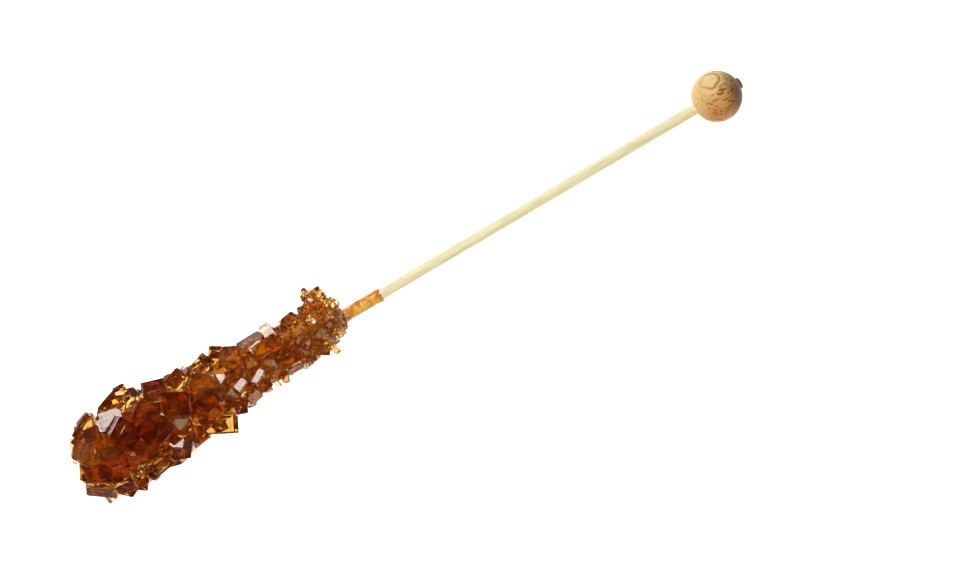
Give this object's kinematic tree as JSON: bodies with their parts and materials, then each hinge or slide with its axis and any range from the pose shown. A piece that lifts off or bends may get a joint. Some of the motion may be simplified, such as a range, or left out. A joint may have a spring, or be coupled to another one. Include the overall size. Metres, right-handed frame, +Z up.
{
  "type": "rock candy stick",
  "caption": "Swizzle stick of rock candy: amber sugar crystals grown in a rough club on a thin wooden stick with a round wooden ball on its other end.",
  "frame": {"origin": "on the surface that the part lies on, under the middle of its bounding box", "axes": "+X along the stick towards the ball, +Z up from the surface it lies on, +Y to the left of the stick seen from above with the ball ahead"},
  "size_m": [0.1648, 0.0232, 0.0199],
  "materials": {
    "birch": "plain sanded birch, unvarnished",
    "beech": "smooth turned beech with a low sheen",
    "amber_sugar": "clear brown sugar crystals with flat glossy faces"
  },
  "bodies": {
    "root": {"stick": "birch", "ball": "beech", "candy": "amber_sugar"}
  },
  "joints": []
}
